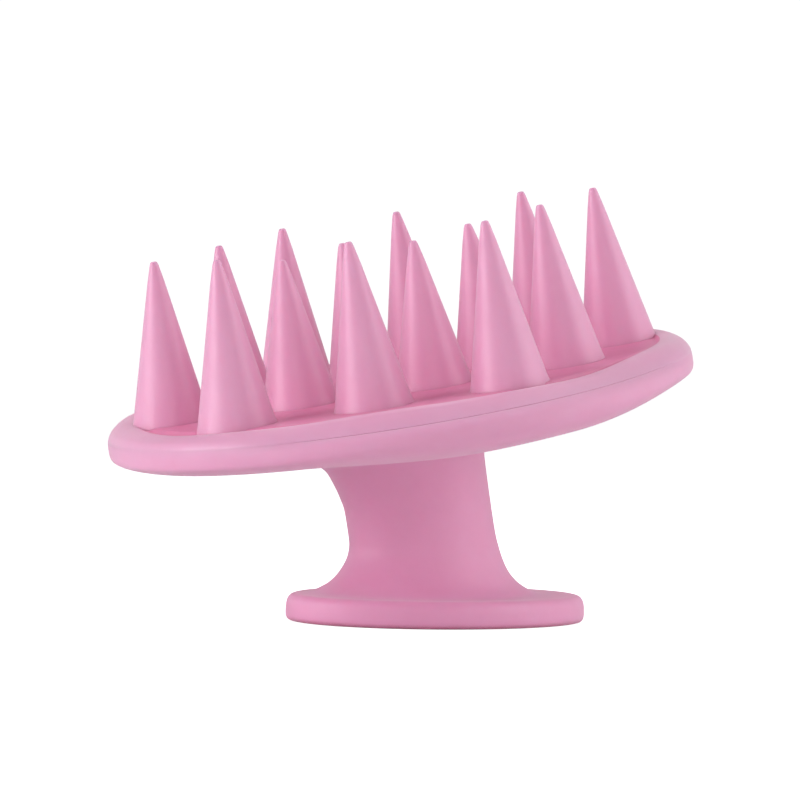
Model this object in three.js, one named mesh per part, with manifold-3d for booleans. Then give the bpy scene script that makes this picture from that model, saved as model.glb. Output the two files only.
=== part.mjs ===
// Scalp massager brush: an oval head with fourteen flexible massage cones, a short oval stem and an
// oval grip disc. Millimetres, +Z up, origin at the centre of the grip disc's flat underside.
// X runs along the head's long axis, towards its raised end, and Y along its short axis.
//
// The head and the stem share one axis, which leans HEAD_TILT from the grip disc's normal.
// Head pieces are made in the head's own frame (z up from the middle of the recessed floor) and
// placed by the head group. Oval pieces are lathed about z and stretched along x.
//
// Name endings: _A semi-axis along x, _B semi-axis along y, _R radius, _Z height in the head's
// frame, or in the grip disc's for the GRIP_ and FOOT_ sizes.

import * as THREE from 'three';
import { mergeVertices } from 'three/addons/utils/BufferGeometryUtils.js';
import Module from 'manifold-3d';

const { clamp, degToRad, smoothstep } = THREE.MathUtils;

// ---------------------------------------------------------------- dimensions
const GAP = 0.3;                   // assembly gap between neighbours

// Head
const HEAD_TILT = degToRad(11.9);  // lean of the head and stem axis, towards -X
const HEAD_X = -8.0;               // middle of the head floor, along X
const HEAD_HEIGHT = 36.8;          // middle of the head floor, above the resting face
const HEAD_A = 46.8;
const HEAD_B = 42.8;
const HEAD_STRETCH = HEAD_A / HEAD_B;
const HEAD_DISH_R = 1430;          // radius of the faint dish of the whole head

// Bristle pad
const CREASE_B = 41.2;             // parting line between pad and base shell
const CREASE_Z = -1.9;
const PAD_LEDGE_Z = CREASE_Z - 0.3; // underside of the pad's overhanging edge
const LIP_A = 42.6;                // crest of the rim
const LIP_B = 37.6;
const LIP_Z = 0.6;
const PAD_BOTTOM_Z = -3.6;
const PLUG_TOP_B = 38.0;           // tapered plug under the pad
const PLUG_BOTTOM_B = 37.6;

// Cones
const PITCH = 20.25;               // spacing of the cones in their hexagonal field
const ROW_PITCH = PITCH * Math.sqrt(3) / 2;
const CONE_R = 5.86;               // at the floor
const CONE_TALL = 24.6;            // height of the outer cones
const CONE_SHORT = 22.3;           // height of the four inner cones
const CONE_SPLAY_R = 950;          // the cones lean inwards as if square to a dish of this radius
const CONE_TIP_R = 0.62;
const FLANK_END_R = CONE_TIP_R + 0.35; // radius the straight flank would reach at full height
const ROOT_R = 4.7;                // cone root under the floor
const ROOT_DEPTH = 0.8;
const POCKET_R = CONE_R + GAP;     // root pocket in the pad
const POCKET_DEPTH = 2.6;          // leaves room for the root edge to dip
const CONE_SEGMENTS = 20;

// Base shell
const BASE_FLOOR_Z = -5.6;         // inside floor
const BASE_BOTTOM_Z = -10.0;       // underside of the head, at the stem
const BASE_TOP_Z = PAD_LEDGE_Z - GAP;
const WELL_TOP_B = 38.35;          // tapered well for the pad's plug
const WELL_BOTTOM_B = 38.1;
const ENDS_RISE = {                // lift of the underside towards both ends of the head
  height: 1.5,
  from: 6,                         // distance from the middle along x where it starts
  to: 32,                          // and where it is complete
  below: BASE_FLOOR_Z - 0.5,       // only points lower than this are lifted
};

// Stiff core of the head
const PLATE_A = 35.0;
const PLATE_B = 33.6;
const PLATE_TOP_Z = PAD_BOTTOM_Z - GAP;
const COLLAR_B = 8.0;              // collar under the plate that takes the post
const COLLAR_TOP_Z = -5;
const COLLAR_BOTTOM_Z = -13.5;
const BORE_TOP_Z = -5.2;           // blind bore up the collar
const BORE_DEPTH = 12;

// Stem
const STEM_A = 11.9;
const STEM_B = 9.8;
const STEM_STRETCH = STEM_A / STEM_B;
const FLARE_TOP = { spread: 3.2, reach: 8, power: 2.6 };  // widening at the head
const FLARE_FOOT = { spread: 6.2, reach: 9, power: 2.2 }; // widening at the grip disc
const STEM_FOOT_SHIFT = -1.3;      // the foot of the stem spreads further towards -X
const POST_B = 5.0;                // stiff post inside the stem
const POST_TOP_Z = -5.6;
const POST_LENGTH = 28.4;          // before its lower end is cut level

// Grip disc, and the foot of the post inside it
const GRIP_A = 25.2;
const GRIP_B = 18.1;
const GRIP_T = 4.2;
const FOOT_A = 12.6;
const FOOT_B = 9.6;
const FOOT_LOW = 2.3;
const FOOT_TOP = 3.8;
const POST_CUT = FOOT_LOW + 0.4;   // level at which the post ends inside its foot

// ---------------------------------------------------------------- materials
const plastic = ({ name, color, roughness }) => (
  new THREE.MeshStandardMaterial({ name, color, roughness, metalness: 0 }));
const PAD_PINK = plastic({ name: 'pad_silicone', color: 0xe793bb, roughness: 0.46 });
const CONE_PINK = plastic({ name: 'cone_silicone', color: 0xe998bf, roughness: 0.44 });
const HANDLE_PINK = plastic({ name: 'handle_silicone', color: 0xe48db6, roughness: 0.5 });
const CORE_CREAM = plastic({ name: 'core_plastic', color: 0xe9e4df, roughness: 0.55 });

// ---------------------------------------------------------------- solids
const wasm = await Module();
wasm.setup();

function toSolid(geometry) {
  geometry.deleteAttribute('normal');
  geometry.deleteAttribute('uv');
  const merged = mergeVertices(geometry, 1e-4);
  return new wasm.Manifold(new wasm.Mesh({
    numProp: 3,
    vertProperties: new Float32Array(merged.attributes.position.array),
    triVerts: new Uint32Array(merged.index.array),
  }));
}

function toGeometry(solid) {
  const { vertProperties, triVerts } = solid.getMesh();
  const geometry = new THREE.BufferGeometry();
  geometry.setAttribute('position', new THREE.BufferAttribute(new Float32Array(vertProperties), 3));
  geometry.setIndex(new THREE.BufferAttribute(new Uint32Array(triVerts), 1));
  geometry.computeVertexNormals();
  return geometry;
}

// Moves every vertex to the [x, y, z] that move(x, y, z, index) returns.
function reshape(geometry, move) {
  const points = geometry.attributes.position;
  for (let i = 0; i < points.count; i += 1) {
    points.setXYZ(i, ...move(points.getX(i), points.getY(i), points.getZ(i), i));
  }
  return geometry;
}

// A lathed solid stretched along x. Profile rows are [semi-axis along y, z], with the outside
// running upwards; a third number gives that ring's own semi-axis along x.
function oval(profile, { stretch, segments }) {
  const outline = profile.map(([radius, z]) => new THREE.Vector2(radius, z));
  const geometry = new THREE.LatheGeometry(outline, segments).rotateX(Math.PI / 2);
  return reshape(geometry, (x, y, z, i) => {
    const [radius, , ownA] = profile[i % profile.length];
    return [x * (ownA ? ownA / radius : stretch), y, z];
  });
}

// An upright oval cylinder between two heights; radius is its semi-axis along y.
function cylinder({ radius, stretch = 1, bottom, top, segments }) {
  return new THREE.CylinderGeometry(radius, radius, top - bottom, segments)
    .rotateX(Math.PI / 2)
    .scale(stretch, 1, 1)
    .translate(0, 0, (bottom + top) / 2);
}

// The faint dish of the head: everything rises with its distance from the middle.
const dishRise = (x, y) => (x * x + y * y) / (2 * HEAD_DISH_R);
const dish = (geometry) => reshape(geometry, (x, y, z) => [x, y, z + dishRise(x, y)]);

const headMatrix = new THREE.Matrix4()
  .makeRotationY(-HEAD_TILT)
  .setPosition(HEAD_X, 0, HEAD_HEIGHT);

// ---------------------------------------------------------------- the field of cones
// Five rows, each running along y, placed one after another along x.
const CONES_PER_ROW = [2, 3, 4, 3, 2];
const FIELD = CONES_PER_ROW.flatMap((count, row) => Array.from({ length: count }, (_, i) => [
  (row - 2) * ROW_PITCH,
  (i - (count - 1) / 2) * PITCH,
]));

// ---------------------------------------------------------------- head: bristle pad
// Recessed floor with root pockets, raised rim with its sloping bevel, and a plug below that
// drops into the base shell.
function makePad() {
  const body = toSolid(dish(oval([
    [0, PAD_BOTTOM_Z],
    [PLUG_BOTTOM_B, PAD_BOTTOM_Z],
    [PLUG_TOP_B, PAD_LEDGE_Z],
    [CREASE_B - 0.1, PAD_LEDGE_Z],
    [CREASE_B, CREASE_Z],
    [CREASE_B - 0.25, CREASE_Z + 0.25],
    [LIP_B + 0.9, LIP_Z - 0.1, LIP_A + 0.9],
    [LIP_B, LIP_Z, LIP_A],
    [LIP_B - 0.45, LIP_Z - 0.2, LIP_A - 0.45],
    [LIP_B - 0.9, 0, LIP_A - 0.9],
    [0, 0],
  ], { stretch: HEAD_STRETCH, segments: 72 })));

  return toGeometry(FIELD.reduce((pad, [x, y]) => {
    const pocket = cylinder({
      radius: POCKET_R, bottom: -POCKET_DEPTH, top: 2, segments: CONE_SEGMENTS,
    });
    return pad.subtract(toSolid(pocket.translate(x, y, dishRise(x, y))));
  }, body));
}

// ---------------------------------------------------------------- head: base shell
// The underside lies lowest across the stem and rises towards both ends.
function raiseEnds(geometry) {
  const { height, from, to, below } = ENDS_RISE;
  return reshape(geometry, (x, y, z) => (
    [x, y, z < below ? z + height * smoothstep(Math.abs(x), from, to) : z]));
}

// Side wall, rounded lower edge and underside, open upwards for the pad and the core plate.
function makeBaseShell() {
  const body = oval([
    [0, BASE_BOTTOM_Z],
    [STEM_B + FLARE_TOP.spread + 3, BASE_BOTTOM_Z + 0.25],
    [HEAD_B - 13, -8.9],
    [HEAD_B - 5.5, -7.9],
    [HEAD_B - 2.8, -7.3],
    [HEAD_B - 1.2, -6.5],
    [HEAD_B - 0.3, -5.4],
    [HEAD_B, -4.0],
    [HEAD_B - 0.2, -3.0],
    [CREASE_B + 0.2, BASE_TOP_Z],
    [WELL_TOP_B, BASE_TOP_Z],
    [WELL_BOTTOM_B, PLATE_TOP_Z],
    [PLATE_B + GAP, PLATE_TOP_Z, PLATE_A + GAP],
    [PLATE_B + GAP, BASE_FLOOR_Z, PLATE_A + GAP],
    [0, BASE_FLOOR_Z],
  ], { stretch: HEAD_STRETCH, segments: 72 });
  const collarHole = cylinder({
    radius: COLLAR_B + GAP,
    stretch: STEM_STRETCH,
    bottom: BASE_BOTTOM_Z - 5,
    top: BASE_BOTTOM_Z + 5,
    segments: 40,
  });
  return toGeometry(toSolid(dish(raiseEnds(body))).subtract(toSolid(collarHole)));
}

// ---------------------------------------------------------------- head: stiff plate with its collar
function makeHeadCore() {
  const plate = dish(oval([
    [0, BASE_FLOOR_Z + GAP],
    [PLATE_B, BASE_FLOOR_Z + GAP, PLATE_A],
    [PLATE_B, PLATE_TOP_Z, PLATE_A],
    [0, PLATE_TOP_Z],
  ], { stretch: HEAD_STRETCH, segments: 48 }));
  const collar = cylinder({
    radius: COLLAR_B,
    stretch: STEM_STRETCH,
    bottom: COLLAR_BOTTOM_Z,
    top: COLLAR_TOP_Z,
    segments: 40,
  });
  const bore = cylinder({
    radius: POST_B + GAP,
    stretch: STEM_STRETCH,
    bottom: BORE_TOP_Z - BORE_DEPTH,
    top: BORE_TOP_Z,
    segments: 32,
  });
  return toGeometry(toSolid(plate).add(toSolid(collar)).subtract(toSolid(bore)));
}

// ---------------------------------------------------------------- stem: soft sleeve
const SLEEVE_TOP_Z = BASE_BOTTOM_Z - GAP;
const SLEEVE_FOOT_Z = (GRIP_T + GAP - HEAD_HEIGHT) / Math.cos(HEAD_TILT);
const RECESS_Z = COLLAR_BOTTOM_Z - GAP; // end of the wider bore round the collar
// Heights of the outside rings, as fractions of the way down from the sleeve's top.
const SLEEVE_STATIONS = [1, 0.96, 0.91, 0.85, 0.78, 0.7, 0.6, 0.45, 0.3, 0.19, 0.11, 0.05, 0];

// Widening at a distance from the end of the sleeve that flares.
const flare = ({ spread, reach, power }, distance) => (
  spread * Math.max(0, 1 - distance / reach) ** power);

// Turns the lower rings of the sleeve, so that its foot lies flat on the grip disc.
function settleFoot(geometry) {
  const start = RECESS_Z - 1;
  return reshape(geometry, (x, y, z) => {
    const down = clamp((start - z) / (start - SLEEVE_FOOT_Z), 0, 1);
    const turn = HEAD_TILT * smoothstep(down, 0, 1);
    const isOutside = Math.hypot(x / STEM_STRETCH, y) > POST_B + 1;
    const shifted = isOutside ? x + STEM_FOOT_SHIFT * down ** 5 : x;
    return [shifted * Math.cos(turn), y, z - shifted * Math.sin(turn)];
  });
}

// An oval tube that widens gently into the head and strongly into the grip disc.
function makeSleeve() {
  const outside = SLEEVE_STATIONS.map((fraction) => {
    const z = SLEEVE_TOP_Z + (SLEEVE_FOOT_Z - SLEEVE_TOP_Z) * fraction;
    const widening = flare(FLARE_TOP, SLEEVE_TOP_Z - z) + flare(FLARE_FOOT, z - SLEEVE_FOOT_Z);
    return [STEM_B + widening, z];
  });
  const tube = oval([
    outside.at(-1),
    [COLLAR_B + GAP, SLEEVE_TOP_Z],
    [COLLAR_B + GAP, RECESS_Z],
    [POST_B + GAP, RECESS_Z],
    [POST_B + GAP, SLEEVE_FOOT_Z],
    ...outside,
  ], { stretch: STEM_STRETCH, segments: 40 });
  return toGeometry(toSolid(settleFoot(tube).applyMatrix4(headMatrix)));
}

// ---------------------------------------------------------------- stem: stiff post with its oval foot
function makeStemCore() {
  const post = cylinder({
    radius: POST_B,
    stretch: STEM_STRETCH,
    bottom: POST_TOP_Z - POST_LENGTH,
    top: POST_TOP_Z,
    segments: 32,
  }).applyMatrix4(headMatrix);
  const keepHeight = 60;
  const keepBox = new THREE.BoxGeometry(120, 120, keepHeight)
    .translate(0, 0, POST_CUT + keepHeight / 2);
  const foot = cylinder({
    radius: FOOT_B,
    stretch: FOOT_A / FOOT_B,
    bottom: FOOT_LOW,
    top: FOOT_TOP,
    segments: 40,
  });
  return toGeometry(toSolid(post).intersect(toSolid(keepBox)).add(toSolid(foot)));
}

// ---------------------------------------------------------------- grip disc
// Rounded oval disc with a pocket for the post's foot, open at the top.
function makeGrip() {
  const disc = oval([
    [0, 0],
    [GRIP_B - 1.5, 0],
    [GRIP_B - 0.6, 0.35],
    [GRIP_B - 0.1, 1.1],
    [GRIP_B, 2.0],
    [GRIP_B - 0.15, 3.0],
    [GRIP_B - 0.7, 3.85],
    [GRIP_B - 1.6, GRIP_T],
    [0, GRIP_T],
  ], { stretch: GRIP_A / GRIP_B, segments: 64 });
  const pocketBottom = FOOT_LOW - GAP;
  const footPocket = cylinder({
    radius: FOOT_B + GAP,
    stretch: (FOOT_A + GAP) / (FOOT_B + GAP),
    bottom: pocketBottom,
    top: pocketBottom + 6,
    segments: 40,
  });
  return toGeometry(toSolid(disc).subtract(toSolid(footPocket)));
}

// ---------------------------------------------------------------- cones
// Straight flanks, a short ogive near the top, a blunt tip, and a shallow root below the floor.
function makeCone(height) {
  const flank = (fraction) => CONE_R + (FLANK_END_R - CONE_R) * fraction;
  return oval([
    [0, -ROOT_DEPTH],
    [ROOT_R, -ROOT_DEPTH],
    [CONE_R, 0],
    [flank(0.45), height * 0.45],
    [flank(0.8) + 0.12, height * 0.8],
    [flank(0.94) - 0.02, height * 0.94],
    [CONE_TIP_R, height * 0.985],
    [0, height],
  ], { stretch: 1, segments: CONE_SEGMENTS });
}

// ---------------------------------------------------------------- assembly
const brush = new THREE.Group();
const head = new THREE.Group();
head.applyMatrix4(headMatrix);
brush.add(head);

function addPiece(parent, name, geometry, material) {
  const mesh = new THREE.Mesh(geometry, material);
  mesh.name = name;
  parent.add(mesh);
  return mesh;
}

addPiece(brush, 'grip_disc', makeGrip(), HANDLE_PINK);
addPiece(brush, 'stem_core', makeStemCore(), CORE_CREAM);
addPiece(brush, 'stem_sleeve', makeSleeve(), HANDLE_PINK);
addPiece(head, 'base_shell', makeBaseShell(), HANDLE_PINK);
addPiece(head, 'head_core', makeHeadCore(), CORE_CREAM);
addPiece(head, 'bristle_pad', makePad(), PAD_PINK);

FIELD.forEach(([x, y], i) => {
  const name = `cone_${String(i + 1).padStart(2, '0')}`;
  const isInner = Math.hypot(x, y) < PITCH;
  const cone = addPiece(head, name, makeCone(isInner ? CONE_SHORT : CONE_TALL), CONE_PINK);
  cone.position.set(x, y, dishRise(x, y));
  // The cones lean in a little towards the middle of the head.
  cone.quaternion.setFromUnitVectors(
    new THREE.Vector3(0, 0, 1),
    new THREE.Vector3(-x / CONE_SPLAY_R, -y / CONE_SPLAY_R, 1).normalize(),
  );
});

export default brush;
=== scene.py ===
"""Scalp massager brush: an oval head of soft cones on a leaning stem over a flat grip disc.

The model's frame is +Z up with the grip disc's underside at z = 0. The head's long axis runs
along X, and the head and stem lean towards -X. Shapes are worked out in mm, and meshes, lights
and the camera are placed in metres.
"""
import math

import bpy
import numpy as np
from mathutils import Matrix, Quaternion, Vector


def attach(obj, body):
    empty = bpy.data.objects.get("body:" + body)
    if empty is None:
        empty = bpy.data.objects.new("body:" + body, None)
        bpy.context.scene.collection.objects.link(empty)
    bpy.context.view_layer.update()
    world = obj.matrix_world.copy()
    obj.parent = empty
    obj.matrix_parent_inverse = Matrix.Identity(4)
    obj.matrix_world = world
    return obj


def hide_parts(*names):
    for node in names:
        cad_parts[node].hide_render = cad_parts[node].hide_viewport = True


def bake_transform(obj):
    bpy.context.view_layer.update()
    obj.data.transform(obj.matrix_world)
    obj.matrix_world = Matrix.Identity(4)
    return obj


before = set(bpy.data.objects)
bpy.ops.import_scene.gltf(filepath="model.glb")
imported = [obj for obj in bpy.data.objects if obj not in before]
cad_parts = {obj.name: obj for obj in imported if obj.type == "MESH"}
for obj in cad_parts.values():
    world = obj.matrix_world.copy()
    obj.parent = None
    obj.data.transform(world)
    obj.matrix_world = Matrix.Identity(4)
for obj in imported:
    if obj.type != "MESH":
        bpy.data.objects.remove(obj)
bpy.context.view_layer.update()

MM = 0.001

# ---------------------------------------------------------------- main dimensions (mm)
TILT = math.radians(11.9)                   # lean of the head and stem axis, towards -X
HEAD_ORIGIN = np.array([-8.0, 0.0, 36.8])   # middle of the head's floor
HEAD_X, HEAD_Y = 46.8, 42.8                 # head, semi-axes
CREST_X, CREST_Y = 42.6, 37.6               # crest of the rim, semi-axes
DISH_R = 1430.0                             # radius of the head's shallow dish
ENDS_RISE = 1.5                             # rise of the underside towards both ends
STEM_X, STEM_Y = 11.9, 9.8                  # stem, semi-axes
GRIP_X, GRIP_Y, GRIP_THICK = 25.2, 18.1, 4.2

SEGMENTS = 288
PHI = np.linspace(0, 2 * math.pi, SEGMENTS, endpoint=False)


# ---------------------------------------------------------------- curves and frames
def head_to_model(points):
    """Head frame (x along, y across, height up from the floor) to the model's frame, in mm."""
    points = np.asarray(points, float)
    cos, sin = math.cos(TILT), math.sin(TILT)
    out = np.empty_like(points)
    out[..., 0] = HEAD_ORIGIN[0] + points[..., 0] * cos - points[..., 2] * sin
    out[..., 1] = HEAD_ORIGIN[1] + points[..., 1]
    out[..., 2] = HEAD_ORIGIN[2] + points[..., 0] * sin + points[..., 2] * cos
    return out


def dish(x, y):
    return (x * x + y * y) / (2 * DISH_R)


def smooth(t):
    t = np.clip(t, 0.0, 1.0)
    return t * t * (3 - 2 * t)


def resample(points, step):
    """The points of a polyline, with each straight divided evenly into parts of at most step."""
    pts = np.asarray(points, float)
    out = [pts[0]]
    for start, end in zip(pts[:-1], pts[1:]):
        parts = max(1, int(math.ceil(np.linalg.norm(end - start) / step)))
        for j in range(1, parts + 1):
            out.append(start + (end - start) * j / parts)
    return np.array(out)


def spline(points, parts):
    """A Catmull-Rom line through the points, with each span in equal parts."""
    pts = np.asarray(points, float)
    pts = np.vstack([2 * pts[0] - pts[1], pts, 2 * pts[-1] - pts[-2]])
    out = []
    for before, start, end, after in zip(pts[:-3], pts[1:-2], pts[2:-1], pts[3:]):
        for j in range(parts):
            t = j / parts
            out.append(0.5 * (2 * start + (end - before) * t
                              + (2 * before - 5 * start + 4 * end - after) * t ** 2
                              + (3 * start - before - 3 * end + after) * t ** 3))
    out.append(pts[-2])
    return np.array(out)


def periodic(table):
    """A smooth closed curve through (degrees, value) pairs, read at PHI."""
    degrees, values = np.array(table, float).T
    degrees = np.concatenate([degrees - 360, degrees, degrees + 360])
    around = (np.degrees(PHI) + 180) % 360 - 180
    line = np.interp(around, degrees, np.tile(values, 3))
    waves = np.fft.rfft(line)
    order = np.arange(len(waves))
    return np.fft.irfft(waves * np.exp(-(order / 13.0) ** 2), len(line))


# ---------------------------------------------------------------- mesh building
def add_object(name, data):
    obj = bpy.data.objects.new(name, data)
    bpy.context.scene.collection.objects.link(obj)
    return obj


def loft_faces(n_rings, n_seg, closed, cap_start, cap_end):
    """Quads between rings of points, then fans to the cap points that follow the rings.
    closed joins the last ring to the first."""
    faces = []
    for i in range(n_rings if closed else n_rings - 1):
        a, b = i * n_seg, ((i + 1) % n_rings) * n_seg
        for j in range(n_seg):
            k = (j + 1) % n_seg
            faces.append((a + j, a + k, b + k, b + j))
    cap = n_rings * n_seg
    if cap_start:
        for j in range(n_seg):
            faces.append((cap, (j + 1) % n_seg, j))
        cap += 1
    if cap_end:
        last = (n_rings - 1) * n_seg
        for j in range(n_seg):
            faces.append((cap, last + j, last + (j + 1) % n_seg))
    return faces


def signed_volume(mesh):
    """Negative when the faces point inwards."""
    coords = np.zeros(len(mesh.vertices) * 3)
    mesh.vertices.foreach_get("co", coords)
    mesh.calc_loop_triangles()
    corners = np.zeros(len(mesh.loop_triangles) * 3, dtype=np.int32)
    mesh.loop_triangles.foreach_get("vertices", corners)
    tri = coords.reshape(-1, 3)[corners.reshape(-1, 3)]
    return float(np.einsum("ij,ij->i", tri[:, 0], np.cross(tri[:, 1], tri[:, 2])).sum() / 6)


def make_mesh(name, rings, closed=False, start=None, end=None, creases=()):
    """An object from rings of model-frame points in mm. start and end are cap points, or None.
    creases lists the rings whose edge stays crisp."""
    rings = np.asarray(rings, float)
    n_rings, n_seg = rings.shape[:2]
    verts = rings.reshape(-1, 3)
    caps = [p for p in (start, end) if p is not None]
    if caps:
        verts = np.vstack([verts, np.array(caps, float)])
    faces = loft_faces(n_rings, n_seg, closed, start is not None, end is not None)
    mesh = bpy.data.meshes.new(name)
    mesh.from_pydata((verts * MM).tolist(), [], faces)
    mesh.validate()
    mesh.update()
    if signed_volume(mesh) < 0:
        mesh.flip_normals()
    mesh.polygons.foreach_set("use_smooth", [True] * len(mesh.polygons))
    if creases:
        flags = []
        for edge in mesh.edges:
            i, j = edge.vertices
            on_ring = i // n_seg == j // n_seg and max(i, j) < n_rings * n_seg
            flags.append(on_ring and i // n_seg in creases)
        sharp = mesh.attributes.new("sharp_edge", "BOOLEAN", "EDGE")
        sharp.data.foreach_set("value", flags)
        mesh.update()
    return add_object(name, mesh)


# ---------------------------------------------------------------- head: rings
# Weight of the full-round profile at the two ends, against the bevelled one along the sides.
ENDS = smooth(np.where(np.cos(PHI) > 0,
                       (np.cos(PHI) - 0.48) / 0.26,
                       (-np.cos(PHI) - 0.70) / 0.22))

# The soft rim isn't quite true: its crest wanders over the floor. (degrees round, mm up)
WAVE = periodic([
    (-180, -0.45), (-170, -0.5), (-160, -0.3), (-150, -0.05), (-145, -0.15), (-140, 0.0),
    (-135, 0.15), (-130, 0.4), (-120, 0.5), (-115, 0.42), (-110, 0.18), (-105, 0.1),
    (-97, 0.15), (-91, 0.0), (-85, -0.3), (-78, -0.5), (-73, -0.3), (-67, 0.1),
    (-60, 0.45), (-52, 0.45), (-40, 0.25), (-25, 0.2), (0, 0.2), (30, 0.3),
    (60, 0.3), (90, 0.25), (120, 0.5), (140, 0.9), (155, 0.7), (168, 0.0)])


def long_semi_axis(across):
    """The semi-axis along the head for a ring with the semi-axis across."""
    across = np.asarray(across, float)
    crest_extra = CREST_X - CREST_Y
    outward = np.clip((across - CREST_Y) / (HEAD_Y - CREST_Y), 0, 1)
    outer = across + crest_extra + (HEAD_X - HEAD_Y - crest_extra) * outward
    return np.where(across < CREST_Y, across * CREST_X / CREST_Y, outer)


def head_ring(across, height, lift=0.0, wave=0.0):
    """A ring of the head. across and height may vary round the ring; lift and wave are its
    shares of the rise at the ends and of the rim's waviness."""
    across = np.broadcast_to(np.asarray(across, float), PHI.shape)
    x = long_semi_axis(across) * np.cos(PHI)
    y = across * np.sin(PHI)
    rise = ENDS_RISE * smooth((np.abs(x) - 6) / 26)
    z = height + dish(x, y) + wave * WAVE + lift * rise
    return head_to_model(np.stack([x, y, z], -1))


def blended_rings(side, ends, waves=(0, 0), lifts=(0, 0)):
    """Rings that follow the side profile along the head and the end profile round its ends.
    waves and lifts are spread evenly over the rings."""
    side, ends = spline(side, 4), spline(ends, 4)

    def spread(values):
        places = np.linspace(0, len(values) - 1, len(side))
        return np.interp(places, np.arange(len(values)), values)

    return [head_ring(y0 + (y1 - y0) * ENDS, z0 + (z1 - z0) * ENDS, lift, wave)
            for (y0, z0), (y1, z1), wave, lift in zip(side, ends, spread(waves), spread(lifts))]


# ---------------------------------------------------------------- head: profiles
# Unless noted, the columns are semi-axis across and height over the floor, in mm.

# The floor ends in a small shoulder over a narrow gutter at the foot of the rim, which fades
# out round the ends.
FLOOR_OVAL = [(0.8, 0.0), (35.2, 0.0)]
# across, height at the sides, height at the ends, wave share at the sides, and at the ends
GUTTER = [
    (35.55, -0.02, 0.0, 0.0, 0.0),
    (35.8, -0.1, 0.0, 0.05, 0.02),
    (36.0, -0.28, -0.02, 0.2, 0.08),
    (36.15, -0.55, -0.07, 0.4, 0.2),
    (36.3, -0.82, -0.16, 0.6, 0.4),
    (36.5, -0.95, -0.25, 0.8, 0.7)]

# Rim from the gutter over the crest to the parting line. Along the sides a bevel ends in a
# small rounded edge over a shallow groove; round the ends the rim is full and the parting
# line lies flush.
RIM_SIDE = [
    (36.7, -0.95), (36.95, -0.88), (37.1, -0.5), (37.22, -0.14), (37.5, 0.0),
    (38.05, -0.04), (38.75, -0.27), (39.45, -0.72), (40.1, -1.2), (40.7, -1.64),
    (41.05, -1.88), (41.2, -1.99), (41.19, -2.1)]
RIM_ENDS = [
    (36.7, -0.3), (36.95, -0.26), (37.15, -0.14), (37.4, 0.0), (37.8, 0.11),
    (38.4, 0.18), (39.3, 0.16), (40.2, -0.02), (41.05, -0.38), (41.8, -0.85),
    (42.3, -1.4), (42.55, -1.8), (42.65, -2.1)]
# Wave share at each rim point.
RIM_WAVE = [0.9, 0.92, 0.95, 1.0, 1.0, 0.97, 0.85, 0.65, 0.4, 0.2, 0.05, 0.0, 0.0]

PAD_UNDER = [(38.6, -2.12), (37.9, -3.55), (1.0, -3.6)]

# Parting line round the side wall and under the head to the stem.
UNDERSIDE = [
    (40.0, -7.42), (38.0, -7.85), (35.0, -8.3), (30.0, -8.85), (24.0, -9.3),
    (18.0, -9.62), (14.2, -9.78)]
WALL_SIDE = [
    RIM_SIDE[-1], (41.38, -2.15), (41.82, -2.36), (42.32, -2.76), (42.66, -3.32),
    (42.8, -4.1), (42.77, -4.95), (42.5, -5.75), (41.98, -6.42), (41.2, -6.97)] + UNDERSIDE
WALL_ENDS = [
    RIM_ENDS[-1], (42.71, -2.4), (42.77, -2.8), (42.8, -3.2), (42.8, -3.75),
    (42.77, -4.4), (42.68, -5.1), (42.44, -5.85), (41.96, -6.46), (41.2, -6.99)] + UNDERSIDE
# Lift share at each wall point.
WALL_LIFT = [0, 0, 0, 0, 0, 0.15, 0.35, 0.6, 0.82, 0.95, 1, 1, 1, 1, 1, 1, 1]

# Hidden inside of the shell, from the stem back to the parting line: across, height, lift share.
SHELL_INSIDE = [
    (12.4, -9.8, 1), (11.0, -9.75, 1), (11.0, -5.7, 0), (20.0, -5.7, 0), (33.6, -5.7, 0),
    (33.8, -3.9, 0), (36.0, -3.9, 0), (38.2, -3.85, 0), (38.6, -2.45, 0), (39.8, -2.4, 0)]

DISH_RIM_ROWS = 13      # rows of rim faces, short of the crest, that take the floor's look


# ---------------------------------------------------------------- head: pieces
def build_pad():
    """The soft pad, and a 0/1 flag for each face: whether it lies in the dish."""
    floor_rings = [head_ring(across, 0.0) for across, _ in resample(FLOOR_OVAL, 1.0)]
    for across, side_z, ends_z, side_wave, ends_wave in GUTTER:
        floor_rings.append(head_ring(across, side_z * (1 - ENDS) + ends_z * ENDS,
                                     wave=side_wave * (1 - ENDS) + ends_wave * ENDS))
    top_rings = floor_rings + blended_rings(RIM_SIDE, RIM_ENDS, waves=RIM_WAVE)
    rings = top_rings + [head_ring(across, z) for across, z in resample(PAD_UNDER, 1.6)]
    pad = make_mesh("pad_skin", rings,
                    start=head_to_model([0, 0, 0.0]),
                    end=head_to_model([0, 0, PAD_UNDER[-1][1]]),
                    creases=(len(top_rings) - 1,))
    in_dish = np.zeros(len(pad.data.polygons), dtype=np.int32)
    in_dish[:(len(floor_rings) + DISH_RIM_ROWS) * SEGMENTS] = 1
    # the fan at the middle of the floor
    in_dish[(len(rings) - 1) * SEGMENTS:len(rings) * SEGMENTS] = 1
    return pad, in_dish


def build_shell():
    rings = blended_rings(WALL_SIDE, WALL_ENDS, lifts=WALL_LIFT)
    rings += [head_ring(across, z, lift) for across, z, lift in SHELL_INSIDE]
    return make_mesh("shell_skin", rings, closed=True, creases=(0,))


# ---------------------------------------------------------------- stem
# Heights are along the head's axis, from the floor.
STEM_TOP = -9.45
STEM_FOOT = (GRIP_THICK - HEAD_ORIGIN[2]) / math.cos(TILT)
TURN_TOP = -14.5        # below this the rings start to turn level

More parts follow.
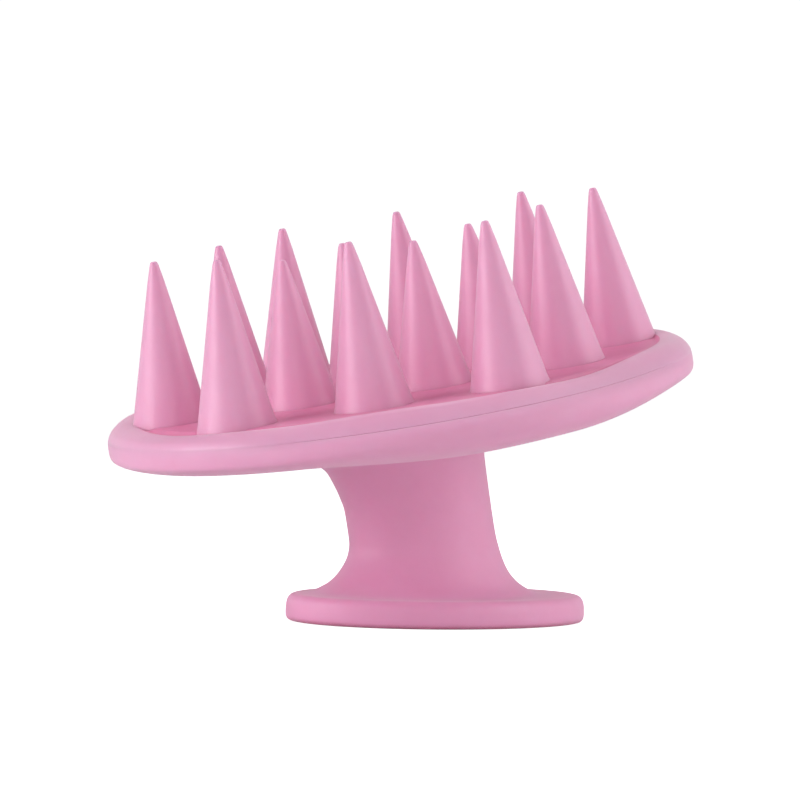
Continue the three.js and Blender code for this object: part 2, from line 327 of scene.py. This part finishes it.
# A fillet into the disc and a soft widening into the head, both fuller on the -X side.
# Columns: distance from that end of the stem, spread beyond the stem's semi-axes.
FOOT_MINUS_X = spline([
    (0.0, 9.4), (0.03, 8.95), (0.12, 8.35), (0.35, 7.45), (0.8, 6.35), (1.6, 4.85),
    (2.6, 3.6), (3.8, 2.5), (5.0, 1.62), (6.2, 0.92), (7.4, 0.45), (9.0, 0.1), (12.0, 0.0)], 8)
FOOT_PLUS_X = spline([
    (0.0, 8.0), (0.03, 7.4), (0.12, 6.65), (0.35, 5.65), (0.8, 4.55), (1.4, 3.45),
    (2.2, 2.45), (3.2, 1.62), (4.2, 1.08), (5.5, 0.66), (7.0, 0.34), (9.0, 0.08), (12.0, 0.0)], 8)
TOP_MINUS_X = spline([
    (0.0, 5.3), (0.35, 4.2), (1.0, 3.05), (2.0, 2.1), (3.0, 1.6), (4.3, 1.12),
    (5.6, 0.7), (7.0, 0.36), (8.4, 0.08), (10.0, 0.0), (12.0, 0.0)], 8)
TOP_PLUS_X = spline([
    (0.0, 2.2), (0.35, 1.5), (1.0, 0.8), (2.0, 0.3), (3.0, 0.08), (4.3, 0.0),
    (5.6, 0.0), (8.0, 0.0), (12.0, 0.0)], 8)

# Heights of the outer rings, from the top down, closer together at both ends.
STEM_HEIGHTS = np.concatenate([
    STEM_TOP - np.array([0.0, 0.15, 0.35, 0.6, 0.9]),
    np.linspace(STEM_TOP - 1.25, -24.0, 44),
    STEM_FOOT + np.linspace(8.9, 0.6, 30),
    STEM_FOOT + np.array([0.45, 0.34, 0.25, 0.18, 0.12, 0.075, 0.045, 0.02, 0.0])])

# The hollow, from the foot up: semi-axis across, height.
STEM_HOLLOW = [(9.0, STEM_FOOT - 0.3), (5.35, STEM_FOOT - 0.3), (5.35, -13.85),
               (8.35, -13.8), (8.35, STEM_TOP)]


def stem_ring(semi_x, semi_y, height):
    """A ring square to the stem at its top that turns level with the grip disc at its foot."""
    turn = TILT * smooth((TURN_TOP - height) / (TURN_TOP - STEM_FOOT))
    x = semi_x * np.cos(PHI)
    y = semi_y * np.sin(PHI)
    return head_to_model(np.stack([x * math.cos(turn), y, height - x * math.sin(turn)], -1))


def spread_round(distance, minus_x, plus_x):
    """The spread round the ring, blended between its -X and +X sides."""
    weight = 0.5 * (1 - np.cos(PHI))
    return (np.interp(distance, *minus_x.T) * weight
            + np.interp(distance, *plus_x.T) * (1 - weight))


def build_stem():
    outer = []
    for height in STEM_HEIGHTS:
        foot = spread_round(height - STEM_FOOT, FOOT_MINUS_X, FOOT_PLUS_X)
        top = spread_round(STEM_TOP - height, TOP_MINUS_X, TOP_PLUS_X)
        outer.append(stem_ring(STEM_X + foot * 1.04 + top, STEM_Y + foot * 0.62 + top, height))
    inner = [stem_ring(across * STEM_X / STEM_Y, across, height)
             for across, height in resample(STEM_HOLLOW, 2.5)]
    return make_mesh("stem_skin", outer + inner, closed=True, creases=(0, len(outer) - 1))


# ---------------------------------------------------------------- grip disc
SOCKET_INSET, SOCKET_FLOOR = 8.3, 1.4   # the recess under the stem's foot
UNDER_INSET = 0.9                       # edge of the flat underside

# Profiles: inset from the disc's outline, depth below its top face.
SOCKET_WALL = [(SOCKET_INSET, GRIP_THICK - SOCKET_FLOOR), (SOCKET_INSET, 0.35), (7.4, 0.35)]
SOCKET_LIP = [(7.2, 0.3), (6.9, 0.02), (6.3, 0.0)]
TOP_FACE = [(6.0, 0.0), (2.2, 0.0)]
GRIP_EDGE = [
    (2.0, 0.0), (1.4, 0.04), (0.9, 0.18), (0.5, 0.47), (0.2, 0.95), (0.05, 1.6),
    (0.0, 2.4), (0.0, 3.1), (0.07, 3.6), (0.25, 3.94), (0.55, 4.14), (UNDER_INSET, GRIP_THICK)]


def grip_ring(inset, z, scale=1.0):
    return np.stack([(GRIP_X - inset) * scale * np.cos(PHI),
                     (GRIP_Y - inset) * scale * np.sin(PHI),
                     np.full_like(PHI, z)], -1)


def build_grip():
    profile = np.vstack([resample(SOCKET_WALL, 1.0), resample(SOCKET_LIP, 0.5),
                         resample(TOP_FACE, 0.6), spline(GRIP_EDGE, 5)])
    rings = [grip_ring(SOCKET_INSET, SOCKET_FLOOR, k) for k in np.linspace(0.06, 0.97, 10)]
    rings += [grip_ring(inset, GRIP_THICK - depth) for inset, depth in profile]
    rings += [grip_ring(UNDER_INSET, 0.0, k) for k in np.linspace(0.97, 0.06, 18)]
    return make_mesh("grip_skin", rings, start=[0, 0, SOCKET_FLOOR], end=[0, 0, 0.0])


# ---------------------------------------------------------------- cones
PITCH = 20.25
ROW_PITCH = PITCH * math.sqrt(3) / 2
CONE_ROWS = ((-2, 2), (-1, 3), (0, 4), (1, 3), (2, 2))      # row along X, cones in it
FIELD = [(row * ROW_PITCH, (i - (count - 1) / 2) * PITCH)
         for row, count in CONE_ROWS for i in range(count)]
SPLAY_R = 950.0         # the cones lean in as if square to a dish of this radius
CONE_R, CONE_TIP_R = 5.9, 0.64
CONE_TALL, CONE_SHORT = 24.6, 22.3      # the cones nearest the middle are short
CONE_SINK = 1.3         # depth of the root under the floor

# Soft cones never stand quite true. Along LEAN_DIR, in mm for each cone: how far its tip is
# off, and how far the middle of its root is off the regular field.
LEAN_DIR = np.array([0.85, -0.53, 0.0])
LEAN = [0.1, 0.2, -0.2, -0.3, 0.1, 0.3, 0.0, -0.5, 0.45, 0.1, -0.33, -0.65, 0.2, 0.05]
DRIFT = [0.0, 0.0, 0.1, -0.4, 0.0, 0.05, -0.1, 0.0, -0.55, 0.05, 0.0, -0.15, 0.05, 0.0]

CONE_PHI = np.linspace(0, 2 * math.pi, 96, endpoint=False)[:, None]


def cone_profile(height):
    """(radius, height): straight flanks that ease in near the blunt tip, from a short root."""
    taper = CONE_R - CONE_TIP_R
    points = [(CONE_R + 0.16, -CONE_SINK), (CONE_R + 0.14, -0.6), (CONE_R + 0.08, 0.0)]
    for part in np.linspace(0.04, 0.86, 30):
        points.append((CONE_TIP_R + taper * (1 - part), height * part))
    for below in (3.0, 2.5, 2.0, 1.6, 1.2, 0.9, 0.6):
        ease = 0.10 * (1 - below / 3.2)
        points.append((CONE_TIP_R + taper / height * below - ease, height - below))
    for radius, below in ((0.58, 0.32), (0.53, 0.17), (0.43, 0.07), (0.28, 0.02), (0.14, 0.005)):
        points.append((radius, height - below))
    return points


def build_cone(number, x, y, lean, drift):
    """A cone, with its root and the tip of its axis in metres."""
    height = CONE_SHORT if math.hypot(x, y) < PITCH else CONE_TALL
    axis = np.array([-x / SPLAY_R, -y / SPLAY_R, 1.0])
    axis /= np.linalg.norm(axis)
    side_x = np.cross([0, 1.0, 0], axis)
    side_x /= np.linalg.norm(side_x)
    side_y = np.cross(axis, side_x)
    root = np.array([x, y, dish(x, y)]) + LEAN_DIR * drift
    tip = root + axis * height
    tip_shift = LEAN_DIR * (lean - drift)
    rings = []
    for radius, up in cone_profile(height):
        middle = root + axis * up + tip_shift * max(0.0, up / height)
        around = np.cos(CONE_PHI) * side_x + np.sin(CONE_PHI) * side_y
        rings.append(head_to_model(middle + radius * around))
    cone = make_mesh("cone_skin_%02d" % number, rings,
                     start=head_to_model(root - axis * CONE_SINK),
                     end=head_to_model(tip + tip_shift),
                     creases=(0,))
    return cone, head_to_model(root) * MM, head_to_model(tip) * MM


# ---------------------------------------------------------------- shader helpers
def fresh_tree(owner):
    """The emptied node tree of a material or world."""
    owner.use_nodes = True
    owner.node_tree.nodes.clear()
    return owner.node_tree


def fill(tree, node, sockets):
    """Set each input, or link it where the value is another node's output."""
    for name, value in sockets.items():
        if isinstance(value, bpy.types.NodeSocket):
            tree.links.new(value, node.inputs[name])
        else:
            node.inputs[name].default_value = value


def add_node(tree, kind, sockets=None, **settings):
    node = tree.nodes.new("ShaderNode" + kind)
    for name, value in settings.items():
        setattr(node, name, value)
    fill(tree, node, sockets or {})
    return node


def add_noise(tree, coords, scale, detail, roughness=0.5, distortion=0.0):
    node = add_node(tree, "TexNoise", {
        "Vector": coords.outputs["Object"], "Scale": scale, "Detail": detail,
        "Roughness": roughness, "Distortion": distortion})
    return node.outputs["Fac"]


# ---------------------------------------------------------------- materials
def silicone(name, base, deep, rough, powder, reach=0.0022, shade=0.85):
    """Satin silicone: mottled from base to deep, with a fine grain, a powdery sheen and light
    that sinks in a little. reach (m) and shade are the size and strength of painted corner shade."""
    material = bpy.data.materials.new(name)
    tree = fresh_tree(material)
    output = add_node(tree, "OutputMaterial")
    surface = add_node(tree, "BsdfPrincipled")
    coords = add_node(tree, "TexCoord")
    cloud = add_noise(tree, coords, scale=85.0, detail=4.0, roughness=0.6, distortion=0.4)
    blot = add_noise(tree, coords, scale=420.0, detail=3.0, roughness=0.6)
    grain = add_noise(tree, coords, scale=5200.0, detail=3.0, roughness=0.6)

    # mottling: 0.55 of the clouds and 0.45 of the blots, at half strength
    clouds = add_node(tree, "MapRange", {"From Min": 0.35, "From Max": 0.65, "Value": cloud})
    blots = add_node(tree, "MapRange", {"From Min": 0.3, "From Max": 0.7, "Value": blot})
    total = add_node(tree, "Math", {0: blots.outputs["Result"], 1: 0.45},
                     operation="MULTIPLY_ADD")
    cloud_part = add_node(tree, "Math", {0: clouds.outputs["Result"], 1: 0.55},
                          operation="MULTIPLY")
    fill(tree, total, {2: cloud_part.outputs[0]})
    mottled = add_node(tree, "Mix", {"A": (*base, 1), "B": (*deep, 1)}, data_type="RGBA")
    mottling = add_node(tree, "Math", {0: total.outputs[0], 1: 0.5}, operation="MULTIPLY")
    fill(tree, mottled, {"Factor": mottling.outputs[0]})

    # painted shade: narrow corners and creases, found by an ambient occlusion mask, get a darker
    # base colour
    occlusion = add_node(tree, "AmbientOcclusion", {"Distance": reach}, samples=6)
    corner_shade = add_node(tree, "MapRange", {
        "From Min": 0.15, "From Max": 0.75, "To Min": shade, "To Max": 0.0,
        "Value": occlusion.outputs["AO"]}, interpolation_type="SMOOTHSTEP")
    base_with_painted_shade = add_node(tree, "Mix", {
        "A": mottled.outputs["Result"],
        "B": (base[0] * 0.62, base[1] * 0.38, base[2] * 0.42, 1),
        "Factor": corner_shade.outputs["Result"]}, data_type="RGBA")

    roughness = add_node(tree, "MapRange", {
        "To Min": rough - 0.05, "To Max": rough + 0.07, "Value": blot})
    fine_bump = add_node(tree, "Bump", {"Strength": 0.10, "Distance": 0.00004, "Height": grain})
    soft_bump = add_node(tree, "Bump", {
        "Strength": 0.10, "Distance": 0.0004, "Height": blot,
        "Normal": fine_bump.outputs["Normal"]})

    fill(tree, surface, {
        "Base Color": base_with_painted_shade.outputs["Result"],
        "Roughness": roughness.outputs["Result"],
        "Normal": soft_bump.outputs["Normal"],
        "IOR": 1.41,
        "Specular IOR Level": 0.8,
        "Subsurface Weight": 0.25,
        "Subsurface Radius": (1.0, 0.35, 0.5),
        "Subsurface Scale": 0.0022,
        "Sheen Weight": powder,
        "Sheen Roughness": 0.5,
        "Sheen Tint": (1.0, 0.95, 0.98, 1)})
    fill(tree, output, {"Surface": surface.outputs["BSDF"]})
    return material


def plastic(name, colour):
    """Matt plastic, faintly mottled and uneven."""
    material = bpy.data.materials.new(name)
    tree = fresh_tree(material)
    output = add_node(tree, "OutputMaterial")
    surface = add_node(tree, "BsdfPrincipled")
    coords = add_node(tree, "TexCoord")
    noise = add_noise(tree, coords, scale=900.0, detail=4.0)
    mottled = add_node(tree, "Mix", {
        "A": (*colour, 1), "B": (*[c * 0.9 for c in colour], 1), "Factor": noise},
        data_type="RGBA")
    bump = add_node(tree, "Bump", {"Strength": 0.2, "Distance": 0.0001, "Height": noise})
    fill(tree, surface, {
        "Base Color": mottled.outputs["Result"],
        "Normal": bump.outputs["Normal"],
        "Roughness": 0.55})
    fill(tree, output, {"Surface": surface.outputs["BSDF"]})
    return material


# ---------------------------------------------------------------- build and dress the brush
def dress(obj, material):
    obj.data.materials.clear()
    obj.data.materials.append(material)


pad, in_dish = build_pad()
shell = build_shell()
stem = build_stem()
grip = build_grip()
cones = [build_cone(number, x, y, lean, drift)
         for number, ((x, y), lean, drift) in enumerate(zip(FIELD, LEAN, DRIFT), 1)]

PINK = (0.83, 0.385, 0.595)
DEEP_PINK = (0.795, 0.335, 0.54)
pad_look = silicone("pad_silicone_look", PINK, DEEP_PINK, rough=0.40, powder=0.34)
# the dish's look: a deeper base colour and stronger corner darkening, both painted shade for the
# recess
dish_painted_shade_look = silicone("pad_floor_painted_shade_look", base=(0.79, 0.245, 0.442), deep=(0.76, 0.217, 0.404),
                      rough=0.38, powder=0.03, reach=0.0033, shade=1.0)
cone_look = silicone("cone_silicone_look", PINK, DEEP_PINK, rough=0.40, powder=0.35)
handle_look = silicone("handle_silicone_look", PINK, DEEP_PINK, rough=0.52, powder=0.3)
core_look = plastic("core_plastic_look", (0.80, 0.77, 0.74))

for obj, node_name, material, slot in (
        (pad, "bristle_pad", pad_look, "pad_silicone"),
        (shell, "base_shell", handle_look, "handle_silicone"),
        (stem, "stem_sleeve", handle_look, "handle_silicone"),
        (grip, "grip_disc", handle_look, "handle_silicone")):
    dress(obj, material)
    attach(obj, "brush_body")
    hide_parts(node_name)

# The dish's base colour is deeper than the rim's as painted shade for the recess, its corner
# darkening is stronger painted shade, and it is less powdery.
pad.data.materials.append(dish_painted_shade_look)
pad.data.polygons.foreach_set("material_index", in_dish)
pad.data.update()

for number, (cone, root, tip) in enumerate(cones, 1):
    dress(cone, cone_look)
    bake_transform(cone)
    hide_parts("cone_%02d" % number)

for name in ("head_core", "stem_core"):
    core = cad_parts[name]
    core.data.materials.clear()
    core.data.materials.append(core_look)


# ---------------------------------------------------------------- studio floor and world
def build_floor():
    """A pale floor just under the brush, which glows to the camera alone."""
    half, z = 6.0, -0.00005
    mesh = bpy.data.meshes.new("studio_floor")
    mesh.from_pydata([(-half, -half, z), (half, -half, z), (half, half, z), (-half, half, z)],
                     [], [(0, 1, 2, 3)])
    floor = add_object("studio_floor", mesh)
    material = bpy.data.materials.new("studio_floor_look")
    tree = fresh_tree(material)
    output = add_node(tree, "OutputMaterial")
    diffuse = add_node(tree, "BsdfDiffuse", {"Color": (0.92, 0.92, 0.92, 1)})
    glow = add_node(tree, "Emission", {"Color": (1, 1, 1, 1), "Strength": 0.85})
    both = add_node(tree, "AddShader", {0: diffuse.outputs[0], 1: glow.outputs[0]})
    path = add_node(tree, "LightPath")
    pick = add_node(tree, "MixShader", {
        "Fac": path.outputs["Is Camera Ray"], 1: diffuse.outputs[0], 2: both.outputs[0]})
    fill(tree, output, {"Surface": pick.outputs[0]})
    mesh.materials.append(material)


def build_world():
    """White to the camera, a faint pink fill, and pale studio walls in reflections."""
    world = bpy.data.worlds.new("studio_world")
    bpy.context.scene.world = world
    tree = fresh_tree(world)
    output = add_node(tree, "OutputWorld")
    seen = add_node(tree, "Background", {"Color": (1, 1, 1, 1), "Strength": 1.05})
    light = add_node(tree, "Background", {"Color": (1.0, 0.9, 0.94, 1), "Strength": 0.21})
    walls = add_node(tree, "Background", {"Color": (1.0, 0.99, 0.985, 1)})
    # the walls are bright near the horizon and dimmer overhead
    wall_strength = 0.85
    coords = add_node(tree, "TexCoord")
    split = add_node(tree, "SeparateXYZ", {0: coords.outputs["Generated"]})
    fall = add_node(tree, "MapRange", {
        "From Min": 0.15, "From Max": 0.8, "To Min": wall_strength,
        "To Max": 0.3 * wall_strength, "Value": split.outputs["Z"]},
        interpolation_type="SMOOTHSTEP")
    fill(tree, walls, {"Strength": fall.outputs["Result"]})
    path = add_node(tree, "LightPath")
    unseen = add_node(tree, "MixShader", {
        "Fac": path.outputs["Is Glossy Ray"], 1: light.outputs[0], 2: walls.outputs[0]})
    pick = add_node(tree, "MixShader", {
        "Fac": path.outputs["Is Camera Ray"], 1: unseen.outputs[0], 2: seen.outputs[0]})
    fill(tree, output, {"Surface": pick.outputs[0]})


# ---------------------------------------------------------------- camera and lights
CAMERA_AZIMUTH, CAMERA_ELEVATION, CAMERA_ROLL = -32.298, 0.587, 1.620   # degrees
CAMERA_TARGET = np.array([-7.844, 0, 34.30])    # mm, near the middle of the brush
CAMERA_DISTANCE = 513.673                       # mm
LENS = 149.1129                                 # mm, on a sensor 36 mm wide

SOFTBOX_TARGET = np.array([-0.003, 0, 0.035])   # m
SOFTBOX_DISTANCE = 0.75                         # m
SOFTBOX_SIZE = (0.5, 0.6)                       # m
# name, azimuth from the camera's (degrees, + to its right), elevation (degrees), power (W)
SOFTBOXES = (
    ("left_softbox", -70, 9, 4.2),
    ("left_high_softbox", -80, 45, 0.7),
    ("front_softbox", 0, 8, 0.68),
    ("right_softbox", 70, 9, 1.7),
    ("right_side_softbox", 95, 8, 0.76),
    ("right_high_softbox", 90, 50, 1.75),
    ("rear_softbox", 180, 60, 0.55))


def direction(azimuth, elevation):
    """Unit vector out from the brush; azimuth in degrees from -Y towards +X."""
    az, el = math.radians(azimuth), math.radians(elevation)
    return np.array([math.sin(az) * math.cos(el), -math.cos(az) * math.cos(el), math.sin(el)])


def facing(outward):
    """The rotation of a camera or light that looks back against outward."""
    return Vector(-outward).to_track_quat("-Z", "Y")


def build_camera():
    data = bpy.data.cameras.new("photo_camera")
    data.sensor_width = 36.0
    data.lens = LENS
    data.clip_start, data.clip_end = 0.05, 50.0
    camera = add_object("photo_camera", data)
    outward = direction(CAMERA_AZIMUTH, CAMERA_ELEVATION)
    roll = Quaternion((0, 0, 1), math.radians(CAMERA_ROLL))
    camera.rotation_mode = "QUATERNION"
    camera.rotation_quaternion = facing(outward) @ roll
    camera.location = Vector((CAMERA_TARGET + outward * CAMERA_DISTANCE) * MM)
    bpy.context.scene.camera = camera


def build_softbox(name, azimuth, elevation, power):
    data = bpy.data.lights.new(name, "AREA")
    data.shape = "RECTANGLE"
    data.size, data.size_y = SOFTBOX_SIZE
    data.energy = power
    light = add_object(name, data)
    outward = direction(CAMERA_AZIMUTH + azimuth, elevation)
    light.location = Vector(outward * SOFTBOX_DISTANCE + SOFTBOX_TARGET)
    light.rotation_mode = "QUATERNION"
    light.rotation_quaternion = facing(outward)


build_floor()
build_world()
build_camera()
for softbox in SOFTBOXES:
    build_softbox(*softbox)

view = bpy.context.scene.view_settings
view.view_transform = "Standard"
view.look = "None"
view.exposure = 0.0
view.gamma = 1.0
